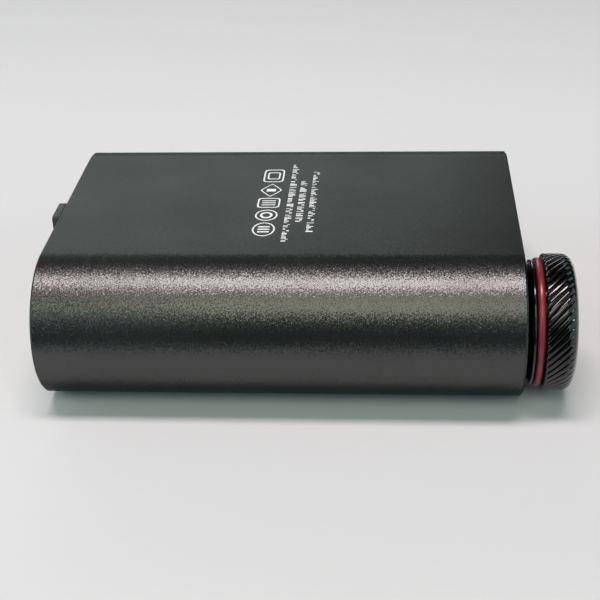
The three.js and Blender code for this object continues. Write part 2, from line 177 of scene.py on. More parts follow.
def tilted(tree, where, size, tilt, normal):
    """The normal leaned at random over a fine grain, as bead blasting leaves a surface."""
    inputs = {"Vector": where, "Scale": 1 / (size * MM), "Detail": 1.0, "Roughness": 0.5}
    grain = add(tree, "ShaderNodeTexNoise", inputs)
    centre = (0.5, 0.5, 0.5)
    centred = add(tree, "ShaderNodeVectorMath", {0: grain.outputs["Color"], 1: centre}, operation="SUBTRACT")
    tipped = add(tree, "ShaderNodeVectorMath", {0: centred.outputs[0], "Scale": tilt}, operation="SCALE")
    leaned = add(tree, "ShaderNodeVectorMath", {0: normal, 1: tipped.outputs[0]}, operation="ADD")
    return add(tree, "ShaderNodeVectorMath", {0: leaned.outputs[0]}, operation="NORMALIZE").outputs[0]


def blasted(name, colour, rough, size, tilt, flat_tilt):
    """Bead-blasted, anodised metal: a fine sparkling grain over uneven patches, rubbed down on the flats."""
    material = bpy.data.materials.new(name)
    material.use_nodes = True
    tree = material.node_tree
    shader = tree.nodes["Principled BSDF"]
    where = place(tree)
    fine = noise(tree, size, where, detail=2.0)
    broad = noise(tree, 16.0, where, detail=1.0)
    tone = blend(tree, ramp(tree, fine, 0.3, 0.7), shaded(colour, 0.9), shaded(colour, 1.1))
    tone = blend(tree, ramp(tree, broad, 0.3, 0.7, 0.0, 0.2), tone, shaded(colour, 0.75))
    tree.links.new(tone, shader.inputs["Base Color"])
    tree.links.new(ramp(tree, broad, 0.3, 0.7, rough - 0.02, rough + 0.02), shader.inputs["Roughness"])
    shader.inputs["Metallic"].default_value = 1.0
    shader.inputs["Specular Tint"].default_value = (0.45, 0.45, 0.45, 1)
    normal = add(tree, "ShaderNodeNewGeometry").outputs["Normal"]
    off_middle = maths(tree, "ABSOLUTE", add(tree, "ShaderNodeSeparateXYZ", {0: where}).outputs["Y"])
    lean = ramp(tree, off_middle, (SIDE_Y - 0.5) * MM, (SIDE_Y + 1.5) * MM, flat_tilt, tilt)
    tree.links.new(tilted(tree, where, size, lean, normal), shader.inputs["Normal"])
    return material


SHELL = blasted("anodised_shell", (0.086, 0.087, 0.086), 0.32, size=0.2, tilt=0.53, flat_tilt=0.1)
PANEL = blasted("anodised_panel", (0.07, 0.07, 0.07), 0.34, size=0.13, tilt=0.25, flat_tilt=0.25)
GLOSS_BLACK = surface("black_anodised_knob", (0.017, 0.017, 0.018), 0.24, 1.0, grain=0.12, tint=0.12,
                      relief=0.04, wear=0.03, depth=0.004, coat=0.85)
ACCENT = surface("red_ring", (0.25, 0.03, 0.038), 0.3, 0.2, grain=0.1, tint=0.12, relief=0.06)
STEEL = surface("plain_steel", (0.46, 0.46, 0.47), 0.3, 1.0, grain=0.15, tint=0.1, relief=0.12,
                stretch=(1, 1, 4))
BLACK_STEEL = surface("blackened_steel", (0.03, 0.03, 0.032), 0.36, 0.9, grain=0.1, tint=0.3, relief=0.2)
GOLD = surface("gold_plating", (0.78, 0.52, 0.2), 0.22, 1.0, grain=0.1, tint=0.07, relief=0.08)
BLACK_PLASTIC = surface("black_moulding", (0.016, 0.016, 0.017), 0.46, grain=0.14, tint=0.25, relief=0.3)
WHITE_PLASTIC = surface("white_moulding", (0.72, 0.7, 0.65), 0.42, grain=0.2, tint=0.05, relief=0.1)
ORANGE_PLASTIC = surface("orange_moulding", (0.75, 0.24, 0.04), 0.4, grain=0.15, tint=0.08, relief=0.12)
RUBBER = surface("soft_plug", (0.017, 0.018, 0.018), 0.55, grain=0.1, tint=0.25, relief=0.35)
CHIP = surface("moulded_epoxy", (0.02, 0.02, 0.022), 0.55, grain=0.08, tint=0.35, relief=0.4)
CAN = surface("drawn_can", (0.6, 0.61, 0.62), 0.27, 1.0, grain=0.12, tint=0.08, relief=0.1,
              stretch=(3, 3, 0.4))
PRINT = surface("white_print", (0.78, 0.79, 0.79), 0.55, grain=0.06, tint=0.1, relief=0.2)

# ---------------------------------------------------------------- mesh helpers


def mesh_of(name, points, faces, weld):
    """A mesh with its faces turned outwards; weld also merges the points that fall together."""
    shape = bmesh.new()
    corners = [shape.verts.new(Vector(p) * MM) for p in points]
    for face in faces:
        shape.faces.new([corners[i] for i in face])
    if weld:
        bmesh.ops.remove_doubles(shape, verts=shape.verts, dist=2e-4 * MM)
        bmesh.ops.dissolve_degenerate(shape, edges=shape.edges, dist=1e-5 * MM)
    bmesh.ops.recalc_face_normals(shape, faces=shape.faces)
    mesh = bpy.data.meshes.new(name)
    shape.to_mesh(mesh)
    shape.free()
    return mesh


def linked(name, data):
    item = bpy.data.objects.new(name, data)
    bpy.context.scene.collection.objects.link(item)
    return item


def smooth(mesh, sharp=SHARP):
    mesh.shade_smooth()
    mesh.set_sharp_from_angle(angle=math.radians(sharp))


def make(name, points, faces, material, body, slot, nodes=(), sharp=SHARP):
    """A piece from points in millimetres, smooth except at edges sharper than the given angle."""
    mesh = mesh_of(name, points, faces, weld=True)
    mesh.materials.append(material)
    smooth(mesh, sharp)
    piece = linked(name, mesh)
    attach(piece, body)
    if nodes:
        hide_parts(*nodes)
    return piece


def even(piece):
    """Keeps flats flat where they run into rounds."""
    modifier = piece.modifiers.new("even", "WEIGHTED_NORMAL")
    modifier.keep_sharp = True
    return piece


def loft(loops, closed=False):
    """Points and faces between rings of points.

    A closed loft joins the last ring to the first, and any other has its two ends capped.
    """
    count = len(loops[0])
    points = [p for loop in loops for p in loop]
    faces = []
    spans = len(loops) if closed else len(loops) - 1
    for k in range(spans):
        a, b = k * count, ((k + 1) % len(loops)) * count
        faces += [(a + i, a + (i + 1) % count, b + (i + 1) % count, b + i) for i in range(count)]
    if not closed:
        faces.append(tuple(range(count)))
        faces.append(tuple((len(loops) - 1) * count + i for i in range(count)))
    return points, faces


def circle(x, radius, steps, y, z):
    angles = [2 * math.pi * i / steps for i in range(steps)]
    return [(x, y + radius * math.cos(a), z + radius * math.sin(a)) for a in angles]


def turned(profile, y, z, steps=96, end=1):
    """Turned about an axis along X. The profile runs from the axis to the axis, or round a closed ring."""
    closed = profile[0] == profile[-1]
    walked = profile[:-1] if closed else profile
    rings = [circle(end * x, max(r, ON_AXIS), steps, y, z) for x, r in walked]
    return loft(rings, closed)


def outline(width, height, radius, steps=8):
    """A rounded rectangle in Y and Z."""
    points = []
    for quarter, (sy, sz) in enumerate(((1, 1), (-1, 1), (-1, -1), (1, -1))):
        for i in range(steps + 1):
            a = math.pi / 2 * (quarter + i / steps)
            y = sy * (width / 2 - radius) + radius * math.cos(a)
            points.append((y, sz * (height / 2 - radius) + radius * math.sin(a)))
    return points


def stack(sections, y, z, end):
    """A loft of rounded rectangles: each is (x, width, height, corner radius)."""
    loops = [[(end * x, y + a, z + b) for a, b in outline(w, h, r)] for x, w, h, r in sections]
    return loft(loops)


def carve(piece, *cutters):
    """Cuts pieces out of another and keeps the result as plain mesh."""
    for cutter in cutters:
        modifier = piece.modifiers.new("carve", "BOOLEAN")
        modifier.operation = "DIFFERENCE"
        modifier.solver = "EXACT"
        modifier.object = cutter
    bake(piece)
    for cutter in cutters:
        bpy.data.objects.remove(cutter)
    return piece


def bake(piece):
    """Turns the piece's modifiers into plain mesh."""
    graph = bpy.context.evaluated_depsgraph_get()
    mesh = bpy.data.meshes.new_from_object(piece.evaluated_get(graph))
    piece.modifiers.clear()
    piece.data = mesh
    smooth(mesh)


def tool(shape):
    """A cutting body; it never stays in the scene."""
    return linked("tool", mesh_of("tool", *shape, weld=False))


def soften(piece, width):
    modifier = piece.modifiers.new("soften", "BEVEL")
    modifier.width = width * MM
    modifier.segments = 2
    modifier.limit_method = "ANGLE"
    modifier.angle_limit = math.radians(35)
    modifier.harden_normals = False
    bake(piece)
    return piece


def box_faces(x0, x1, y0, y1, z0, z1):
    points = [(x, y, z) for x in (x0, x1) for y in (y0, y1) for z in (z0, z1)]
    faces = [(0, 1, 3, 2), (4, 6, 7, 5), (0, 4, 5, 1), (2, 3, 7, 6), (0, 2, 6, 4), (1, 5, 7, 3)]
    return points, faces


def together(*parts):
    """Several point-and-face pairs as one."""
    points, faces = [], []
    for more_points, more_faces in parts:
        faces += [tuple(len(points) + i for i in face) for face in more_faces]
        points += more_points
    return points, faces

# ---------------------------------------------------------------- sleeve


def section(inset, steps=64):
    """The case's outline: two half-rounds joined by flats."""
    radius = MID_Z - inset
    points = []
    for side, start in ((1, -math.pi / 2), (-1, math.pi / 2)):
        for i in range(steps + 1):
            a = start + math.pi * i / steps
            points.append((side * SIDE_Y + radius * math.cos(a), MID_Z + radius * math.sin(a)))
    return points


def sleeve():
    edge, inner_edge = 0.3, 0.15  # chamfers at the sleeve's ends
    along = (-24, -12, 0, 12, 24)
    stations = [(edge - END_X, 0.0), *((x, 0.0) for x in along), (END_X - edge, 0.0)]
    stations += [(END_X, edge), (END_X, WALL - inner_edge), (END_X - inner_edge, WALL)]
    stations += [(x, WALL) for x in along[::-2]]
    stations += [(inner_edge - END_X, WALL), (-END_X, WALL - inner_edge), (-END_X, edge)]
    loops = [[(x, y, z) for y, z in section(inset)] for x, inset in stations]
    even(make("outer_sleeve", *loft(loops, closed=True), SHELL, "case", "shell", ["outer_shell"]))


sleeve()

# ---------------------------------------------------------------- volume knob
KNURL_BACK = 38.87
KNURL_START = 39.0
NOSE_START = 41.5
NOSE_FRONT = 43.38
KNOB_RADIUS = 10.25
LAND_RADIUS = KNOB_RADIUS - 0.02
GROOVES = 50
GROOVE_DEPTH = 0.34
GROOVE_LEAN = math.radians(6.2)  # per millimetre along the axis
# The share of the groove's depth from one land to the next.
GROOVE_PROFILE = (0.0, 0.004, 0.02, 0.12, 0.7, 1.0, 0.7, 0.12, 0.02, 0.004)


def knob_grip():
    """The cap: a band of slanting grooves that run out at a rounded nose, and a shallow dish in front."""
    per_groove = len(GROOVE_PROFILE)
    count = GROOVES * per_groove

    def row(x, radius, depth=0.0):
        ring = []
        for i in range(count):
            r = radius - depth * GROOVE_PROFILE[i % per_groove]
            a = 2 * math.pi * i / count - GROOVE_LEAN * (x - KNURL_BACK)
            ring.append((x, KNOB_Y + r * math.cos(a), MID_Z + r * math.sin(a)))
        return ring

    rings = [row(x, r) for x, r in ((36.5, 6.4), (36.5, 7.2), (KNURL_BACK, 7.2), (KNURL_BACK, 9.8))]
    for t in (0, 0.5, 1):
        x = KNURL_BACK + (KNURL_START - KNURL_BACK) * t
        rings.append(row(x, LAND_RADIUS - 0.12 * (1 - t), GROOVE_DEPTH - 0.14 * (1 - t)))
    steps = 9
    for i in range(1, steps + 1):
        rings.append(row(KNURL_START + (NOSE_START - KNURL_START) * i / steps, LAND_RADIUS, GROOVE_DEPTH))
    nose_steps, nose_drop = 12, 1.95
    for i in range(1, nose_steps + 1):
        a = math.pi / 2 * i / nose_steps
        x = NOSE_START + (NOSE_FRONT - NOSE_START) * math.sin(a)
        fade = max(0.0, 1 - 2 * i / nose_steps) ** 0.7
        rings.append(row(x, KNOB_RADIUS - nose_drop * (1 - math.cos(a)), GROOVE_DEPTH * fade))
    dish = ((7.9, 0.0), (7.7, 0.12), (6.0, 0.17), (4.0, 0.21), (2.0, 0.24), (0.6, 0.25), (ON_AXIS, 0.25))
    rings += [row(NOSE_FRONT - sunk, r) for r, sunk in dish]
    bore = ((41.7, ON_AXIS), (41.7, 1.7), (38.0, 1.7), (38.0, 3.6), (40.9, 3.6), (40.9, 6.4))
    rings += [row(x, r) for x, r in bore]
    points, faces = loft(rings, closed=True)
    make("knob_grip", points, faces, GLOSS_BLACK, "volume_control", "knob", ["volume_knob"], sharp=38)


def knob_rings():
    """The black collar and the red ring behind the cap, each with a rounded rim."""
    bore = 7.35
    collar = [(36.22, bore), (36.22, 7.98), (36.3, 8.12), (36.9, 8.8)]
    for degrees in range(40, 136, 12):
        a = math.radians(degrees)
        collar.append((37.18 - 0.3 * math.cos(a), 9.08 + 0.3 * math.sin(a)))
    collar += [(37.46, 9.2), (37.5, 9.0), (37.5, bore)]
    make("knob_back_collar", *turned(collar + collar[:1], KNOB_Y, MID_Z, 128), GLOSS_BLACK,
         "volume_control", "knob", ["knob_collar"])
    back, front, shoulder = 37.61, 38.64, 9.25
    ring = [(back, bore), (back, shoulder)]
    for i in range(1, 12):
        a = i * math.pi / 12
        ring.append((38.13 - 0.51 * math.cos(a), shoulder + 0.39 * math.sin(a)))
    ring += [(front, shoulder), (front, bore)]
    make("knob_red_ring", *turned(ring + ring[:1], KNOB_Y, MID_Z, 128), ACCENT,
         "volume_control", "accent", ["knob_accent_ring"])


def knob_index():
    """A line on the cap's front that shows how far it is turned; it rests at the quiet end of the travel."""
    angle = math.radians(60)
    out, across = (math.cos(angle), math.sin(angle)), (-math.sin(angle), math.cos(angle))
    half = [(4.2, 0.16), (4.3, 0.22), (7.1, 0.22), (7.2, 0.16)]
    shape = [(r, -w) for r, w in half] + half[::-1]
    loops = []
    for x in (NOSE_FRONT - 0.28, NOSE_FRONT - 0.1):
        loop = [(r * out[0] + w * across[0], r * out[1] + w * across[1]) for r, w in shape]
        loops.append([(x, KNOB_Y + a, MID_Z + b) for a, b in loop])
    make("knob_index_line", *loft(loops), PRINT, "volume_control", "knob")


knob_grip()
knob_rings()
knob_index()

# ---------------------------------------------------------------- end panels and screws


def panel_plate(name, end, holes, node):
    soft = 0.12
    walk = ((PANEL_BACK, 0), (PANEL_FACE - soft, 0), (PANEL_FACE, soft))
    loops = [[(end * x, y, z) for y, z in section(WALL + PANEL_GAP + inset, 40)] for x, inset in walk]
    plate = make(name, *loft(loops), PANEL, "case", "panel", [node])
    even(soften(carve(plate, *[tool(h) for h in holes]), 0.1))


def slot_hole(y, z, end, width, height, radius):
    ends = (PANEL_BACK - 1, PANEL_FACE + 1)
    return stack([(x, width, height, radius) for x in ends], y, z, end)


def round_hole(y, radius, end):
    return slot_hole(y, MID_Z, end, radius * 2, radius * 2, radius)


def countersink(y, end):
    head = 2.0
    profile = [(PANEL_BACK - 1, 0), (PANEL_BACK - 1, PILOT_RADIUS), (PANEL_FACE - 1.1, PILOT_RADIUS),
               (PANEL_FACE - 0.25, head), (PANEL_FACE + 1, head), (PANEL_FACE + 1, 0)]
    return turned(profile, y, MID_Z, 48, end)


def screw(name, y, end, node):
    """A countersunk screw with a ridged shank and a hexagon socket."""
    top = PANEL_FACE - 0.15
    crest, root = 0.95, 0.78
    profile = [(top - 7, 0), (top - 7, 0.57), (top - 6.2, crest)]
    for k in range(14):
        x = top - 6.1 + k * 0.33
        profile += [(x, crest), (x + 0.16, root)]
    profile += [(top - 1.1, 0.93), (top - 0.3, 1.76), (top - 0.2, 1.8), (top - 0.06, 1.8), (top, 1.73)]
    profile.append((top, 0))
    piece = make(name, *turned(profile, y, MID_Z, 64, end), BLACK_STEEL, "case", "black_steel", [node])
    carve(piece, tool(loft([circle(end * x, 0.8, 6, y, MID_Z) for x in (top - 0.8, top + 0.5)])))


FRONT_ROUNDS = ((KNOB_Y, 3.3), (HEADPHONE_Y, 3.2), (BALANCED_Y, 2.7))
FRONT_HOLES = [round_hole(y, radius, FRONT) for y, radius in FRONT_ROUNDS]
FRONT_HOLES += [slot_hole(y, MID_Z, FRONT, 4.4, 1.9, 0.6) for y in (GAIN_Y, BASS_Y)]
FRONT_HOLES += [countersink(y, FRONT) for y in (-SCREW_Y, SCREW_Y)]
panel_plate("front_plate", FRONT, FRONT_HOLES, "front_panel")

REAR_HOLES = [slot_hole(OPTICAL_Y, MID_Z, REAR, 10.1, 10.1, 0.5), round_hole(COAX_Y, 5.2, REAR)]
REAR_HOLES += [round_hole(LINE_OUT_Y, 2.7, REAR), slot_hole(MODE_SWITCH_Y, MID_Z, REAR, 1.9, 4.4, 0.6)]
REAR_HOLES += [slot_hole(USB_Y, USB_Z, REAR, 9.5, 3.8, 1.6)]
REAR_HOLES += [countersink(y, REAR) for y in (-SCREW_Y, SCREW_Y)]
panel_plate("rear_plate", REAR, REAR_HOLES, "rear_panel")

for index, side in enumerate((-1, 1)):
    screw(f"front_hex_screw_{index + 1}", side * SCREW_Y, FRONT, f"front_screw_{index + 1}")
    screw(f"rear_hex_screw_{index + 1}", -side * SCREW_Y, REAR, f"rear_screw_{index + 1}")

# ---------------------------------------------------------------- other CAD nodes keep their shape
BOARD = surface("solder_resist", (0.01, 0.06, 0.035), 0.35, grain=0.4, tint=0.3, relief=0.1, coat=0.3)
FINISHES = {
    "shell": SHELL, "panel": PANEL, "knob": GLOSS_BLACK, "accent": ACCENT, "steel": STEEL,
    "black_steel": BLACK_STEEL, "gold": GOLD, "black_plastic": BLACK_PLASTIC, "white_plastic": WHITE_PLASTIC,
    "orange_plastic": ORANGE_PLASTIC, "rubber": RUBBER, "board": BOARD, "chip": CHIP, "can": CAN,
}
slot_of = {part["node"]: part["material_slot"] for part in frame["record"]["subparts"]}
for node_name, node in frame["nodes"].items():
    node.data.materials.clear()
    node.data.materials.append(FINISHES[slot_of[node_name]])

# ---------------------------------------------------------------- ribs and screw bosses inside the sleeve


def inner_ribs():
    reach = PANEL_BACK - 0.1
    rail = 1.1
    boss = 2.0
    parts = []
    for side in (-1, 1):
        for near, far, foot in ((22.9, 26.9, 15.05), (22.9, 25.0, 18.25)):
            y0, y1 = sorted((side * near, side * far))
            parts.append(box_faces(-reach, reach, y0, y1, foot, foot + rail))
        y0, y1 = sorted((side * 26.6, side * 27.8))
        parts.append(box_faces(-reach, reach, y0, y1, MID_Z - 1.2, MID_Z + 1.2))
        pipe = [(-reach, PILOT_RADIUS), (-reach, boss), (reach, boss), (reach, PILOT_RADIUS)]
        parts.append(turned(pipe + pipe[:1], side * SCREW_Y, MID_Z, 32))
    make("sleeve_ribs", *together(*parts), SHELL, "case", "shell")


inner_ribs()

# ---------------------------------------------------------------- sockets


def housing_of(name, x0, x1, width, low, y, end, node):
    """A moulded block with softened ends and corners, lying along X."""
    soft = 0.15
    height = HOUSING_HIGH - low
    small, full = (width - 2 * soft, height - 2 * soft, soft), (width, height, 2 * soft)
    sections = [(x0, *small), (x0 + soft, *full), (x1 - soft, *full), (x1, *small)]
    shape = stack(sections, y, (low + HOUSING_HIGH) / 2, end)
    return make(name, *shape, BLACK_PLASTIC, "case", "black_plastic", [node])


def spring(x0, x1, angle, low, high, width, y, z, end):
    """A leaf contact against the wall of a round bore."""
    out, across = (math.cos(angle), math.sin(angle)), (-math.sin(angle), math.cos(angle))
    loops = []
    for x, lift in ((x0, 0.0), (x0 + 0.6, -0.25), (x0 + 1.2, 0.0), (x1, 0.05)):
        loop = []
        for r, w in ((low + lift, -1), (high + lift, -1), (high + lift, 1), (low + lift, 1)):
            a, b = (r * out[k] + w * width / 2 * across[k] for k in (0, 1))
            loop.append((end * x, y + a, z + b))
        loops.append(loop)
    return loft(loops)


def round_jack(name, y, end, bore, collar, width, depth):
    """A socket's gilt collar in the panel, its bored housing, and three leaf contacts in the bore."""
    front = PANEL_BACK - 0.3
    face = PANEL_FACE
    lip = [(front + 0.1, bore), (front + 0.1, collar), (face + 0.02, collar), (face + 0.14, collar - 0.03),
           (face + 0.24, collar - 0.11), (face + 0.3, collar - 0.25), (face + 0.3, bore + 0.3),
           (face + 0.24, bore + 0.14), (face + 0.1, bore + 0.03), (face - 0.1, bore)]
    make(f"{name}_lip", *turned(lip + lip[:1], y, MID_Z, 72, end), GOLD, "case", "gold", [f"{name}_collar"])
    housing = housing_of(f"{name}_housing", front - depth, front, width, HOUSING_LOW, y, end, f"{name}_body")
    back = front - depth + 1.2
    bored = [(back, 0), (back, bore + 0.1), (front - 0.2, bore + 0.1), (front + 0.1, bore + 0.4),
             (front + 1, bore + 0.4), (front + 1, 0)]
    carve(housing, tool(turned(bored, y, MID_Z, 48, end)))
    leaves = []
    for k in range(3):
        angle = math.radians(90 + 120 * k)
        x0, x1 = back + 1 + k * 1.6, front - 1 - k
        leaves.append(spring(x0, x1, angle, bore - 0.2, bore - 0.02, 0.9, y, MID_Z, end))
    make(f"{name}_contacts", *together(*leaves), GOLD, "case", "gold")


round_jack("headphone_jack", HEADPHONE_Y, FRONT, 1.8, 2.9, 8.4, 13)
round_jack("balanced_jack", BALANCED_Y, FRONT, 1.3, 2.4, 6.6, 11)
round_jack("line_out_jack", LINE_OUT_Y, REAR, 1.8, 2.5, 6, 12)


def usb_socket():
    mouth, y, z = PANEL_FACE - 0.2, USB_Y, USB_Z
    wall = [(mouth - 8, 8.74, 2.96, 1.4), (mouth - 7.9, 8.94, 3.16, 1.5), (mouth - 0.08, 8.94, 3.16, 1.5),
            (mouth, 8.82, 3.04, 1.44), (mouth, 8.5, 2.72, 1.28), (mouth - 0.1, 8.34, 2.56, 1.2),
            (mouth - 7.2, 8.34, 2.56, 1.2)]
    make("usb_shell", *stack(wall, y, z, REAR), STEEL, "case", "steel", ["usb_socket_shell"])
    tongue = [(mouth - 7, 6.7, 0.7, 0.12), (mouth - 1.0, 6.7, 0.7, 0.12), (mouth - 0.7, 6.5, 0.62, 0.2),
              (mouth - 0.6, 6.2, 0.4, 0.16)]
    make("usb_tongue", *stack(tongue, y, z, REAR), BLACK_PLASTIC, "case", "black_plastic",
         ["usb_socket_tongue"])
    pads = []
    pins, pitch, half_pad = 12, 0.5, 0.13
    for k in range(pins):
        across = y + (k - (pins - 1) / 2) * pitch
        for low, high in ((z - 0.38, z - 0.3), (z + 0.3, z + 0.38)):
            pads.append(box_faces(3.6 - mouth, 1.1 - mouth, across - half_pad, across + half_pad, low, high))
    make("usb_contacts", *together(*pads), GOLD, "case", "gold")


def optical_socket():
    mouth, y = PANEL_FACE + 0.4, OPTICAL_Y
    body = housing_of("optical_housing", mouth - 13.5, mouth, 9.7, 6.45, y, REAR, "optical_socket_body")
    well = [(mouth - 10.5, 8.2, 8.2, 0.3), (mouth - 0.3, 8.2, 8.2, 0.3), (mouth + 0.1, 8.7, 8.7, 0.4),
            (mouth + 1, 8.7, 8.7, 0.4)]
    carve(body, tool(stack(well, y, MID_Z, REAR)))
    lens = [(mouth - 10.4, 0), (mouth - 10.4, 2.4), (mouth - 9.9, 2.4), (mouth - 9.8, 2.3),
            (mouth - 9.8, 1.2), (mouth - 9.2, 1.2), (mouth - 9.05, 0.9), (mouth - 9.0, 0)]
    make("optical_lens", *turned(lens, y, MID_Z, 48, REAR), WHITE_PLASTIC, "case", "white_plastic",
         ["optical_emitter"])
    grip = (6.0, 6.6, 0.5)
    waist = (5.76, 6.36, 0.42)
    plug = [(mouth - 3.4, 7.2, 7.2, 0.3), (mouth - 3.2, 7.6, 7.6, 0.4), (mouth + 0.2, 7.6, 7.6, 0.4),
            (mouth + 0.2, 8.9, 8.9, 0.7), (mouth + 0.3, 9.2, 9.2, 0.8), (mouth + 1.15, 9.2, 9.2, 0.8),
            (mouth + 1.3, 8.9, 8.9, 0.7), (mouth + 1.3, 6.2, 6.8, 0.6), (mouth + 1.5, *grip)]
    for k in range(4):
        x = mouth + 2.0 + 0.8 * k
        plug += [(x, *grip), (x + 0.1, *waist), (x + 0.3, *waist), (x + 0.4, *grip)]
    tip = END_X + 6.1
    plug += [(tip - 0.22, *grip), (tip - 0.06, 5.86, 6.46, 0.45), (tip, 5.6, 6.2, 0.4)]
    make("optical_plug", *stack(plug, y, MID_Z, REAR), RUBBER, "dust_plug", "rubber", ["optical_dust_plug"])


def coax_socket():
    y, root, mouth = COAX_Y, PANEL_FACE - 6.5, PANEL_FACE + 1.2
    housing_of("coax_housing", root - 9, root, 10, HOUSING_LOW, y, REAR, "coax_socket_body")
    barrel = [(root + 0.1, 3.6), (root + 0.1, 4.7), (root + 0.9, 4.7), (root + 0.9, 4.15),
              (mouth - 0.3, 4.15), (mouth - 0.12, 4.1), (mouth - 0.02, 3.98), (mouth, 3.88),
              (mouth - 0.02, 3.76), (mouth - 0.1, 3.65), (mouth - 0.25, 3.6)]
    make("coax_ring", *turned(barrel + barrel[:1], y, MID_Z, 96, REAR), GOLD, "case", "gold", ["coax_barrel"])
    filler = [(root + 0.2, 1.95), (root + 0.2, 3.45), (mouth - 0.38, 3.45), (mouth - 0.3, 3.37),
              (mouth - 0.3, 3.0), (mouth - 0.5, 2.95), (mouth - 0.5, 2.5), (mouth - 0.3, 2.45),
              (mouth - 0.3, 2.03), (mouth - 0.38, 1.95)]
    make("coax_filler", *turned(filler + filler[:1], y, MID_Z, 72, REAR), ORANGE_PLASTIC, "case",
         "orange_plastic", ["coax_insulator"])
    pin = [(root + 0.2, 0), (root + 0.2, 1.8), (mouth - 0.95, 1.8), (mouth - 0.82, 1.72), (mouth - 0.8, 1.6),
           (mouth - 0.95, 1.35), (root + 1.5, 1.35), (root + 1.5, 0)]
    centre = make("coax_centre", *turned(pin, y, MID_Z, 48, REAR), GOLD, "case", "gold", ["coax_contact"])
    slits = ((0.15, 2.5), (2.5, 0.15))  # half widths of the two crossed slits in the contact's mouth
    cutters = [box_faces(-mouth, 4.5 - mouth, y - a, y + a, MID_Z - b, MID_Z + b) for a, b in slits]
    carve(centre, *map(tool, cutters))


usb_socket()
optical_socket()
coax_socket()

# ---------------------------------------------------------------- slide switches


def slider(name, y, end, upright, body):
    """A small lever with three grip ribs; upright ones move along Z."""
    front = PANEL_BACK - 0.4
    tip = PANEL_FACE + 0.7
    rest = -1.0  # half the travel, towards the rest end of the slot
    cy, cz = (y, MID_Z + rest) if upright else (y + rest, MID_Z)
    base, lever, end_face = (3, 2.4), (1.8, 1.3), (1.6, 1.1)
    sections = ((front - 2.7, base, 0.1), (front - 1.1, base, 0.1), (front - 1.1, lever, 0.1),
                (tip - 0.12, lever, 0.12), (tip, end_face, 0.1))
    wide = [(x, *(size[::-1] if upright else size), soft) for x, size, soft in sections]
    piece = make(f"{name}_lever", *stack(wide, cy, cz, end), BLACK_PLASTIC, body, "black_plastic",
                 [f"{name}_switch_slider"])
    cuts = []
    for d in (-0.45, 0.0, 0.45):
        x0, x1 = sorted((end * (tip - 0.16), end * (tip + 0.3)))
        if upright:
            cuts.append(tool(box_faces(x0, x1, cy - 1.2, cy + 1.2, cz + d - 0.1, cz + d + 0.1)))
        else:
            cuts.append(tool(box_faces(x0, x1, cy + d - 0.1, cy + d + 0.1, cz - 1.2, cz + 1.2)))
    carve(piece, *cuts)


slider("gain", GAIN_Y, FRONT, False, "gain_slider")
slider("bass", BASS_Y, FRONT, False, "bass_slider")
slider("usb_mode", MODE_SWITCH_Y, REAR, True, "usb_mode_slider")

# ---------------------------------------------------------------- circuit board and its components
# Each chip's place, length, width, height and leads to a side.
CHIPS = (
    ("usb_controller_chip", -15, -14, 9, 9, 1, 16), ("converter_chip", 0, 2, 6.5, 4.4, 1.1, 10),
    ("filter_amplifier_chip", 9.5, 2, 5, 4, 1.6, 4), ("headphone_amplifier_chip_1", 12, 13, 5, 5, 1, 6),
    ("headphone_amplifier_chip_2", 15, -5, 5, 5, 1, 6), ("regulator_chip", -14, 18, 6.5, 3.5, 1.7, 3),
)
CRYSTALS = (("clock_crystal_1", -6.5, -7), ("clock_crystal_2", -6.5, 10))
CAPACITORS = ((-3, -16), (5, -16), (13, -16), (-3, 17), (5, 17))
TRACE = surface("covered_copper", (0.02, 0.11, 0.055), 0.3, 0.2, grain=0.3, tint=0.2, relief=0.08, coat=0.3)
TIN = surface("tinned_lead", (0.55, 0.56, 0.57), 0.32, 1.0, grain=0.1, tint=0.1, relief=0.2)


def ring_at(x, y, z, radius, steps):
    """A level ring of points."""
    r = max(radius, 1e-4)
    angles = [2 * math.pi * i / steps for i in range(steps)]
    return [(x + r * math.cos(a), y + r * math.sin(a), z) for a in angles]


def hung_box(x, y, length, width, height, soft):
    """A block hanging under the board, its lower edges softened."""
    loops = []
    for depth, less in ((0, 0), (height - soft, 0), (height, soft)):
        ring = outline(length - 2 * less, width - 2 * less, soft, 3)
        loops.append([(a + x, b + y, PART_TOP - depth) for a, b in ring])
    return loft(loops)


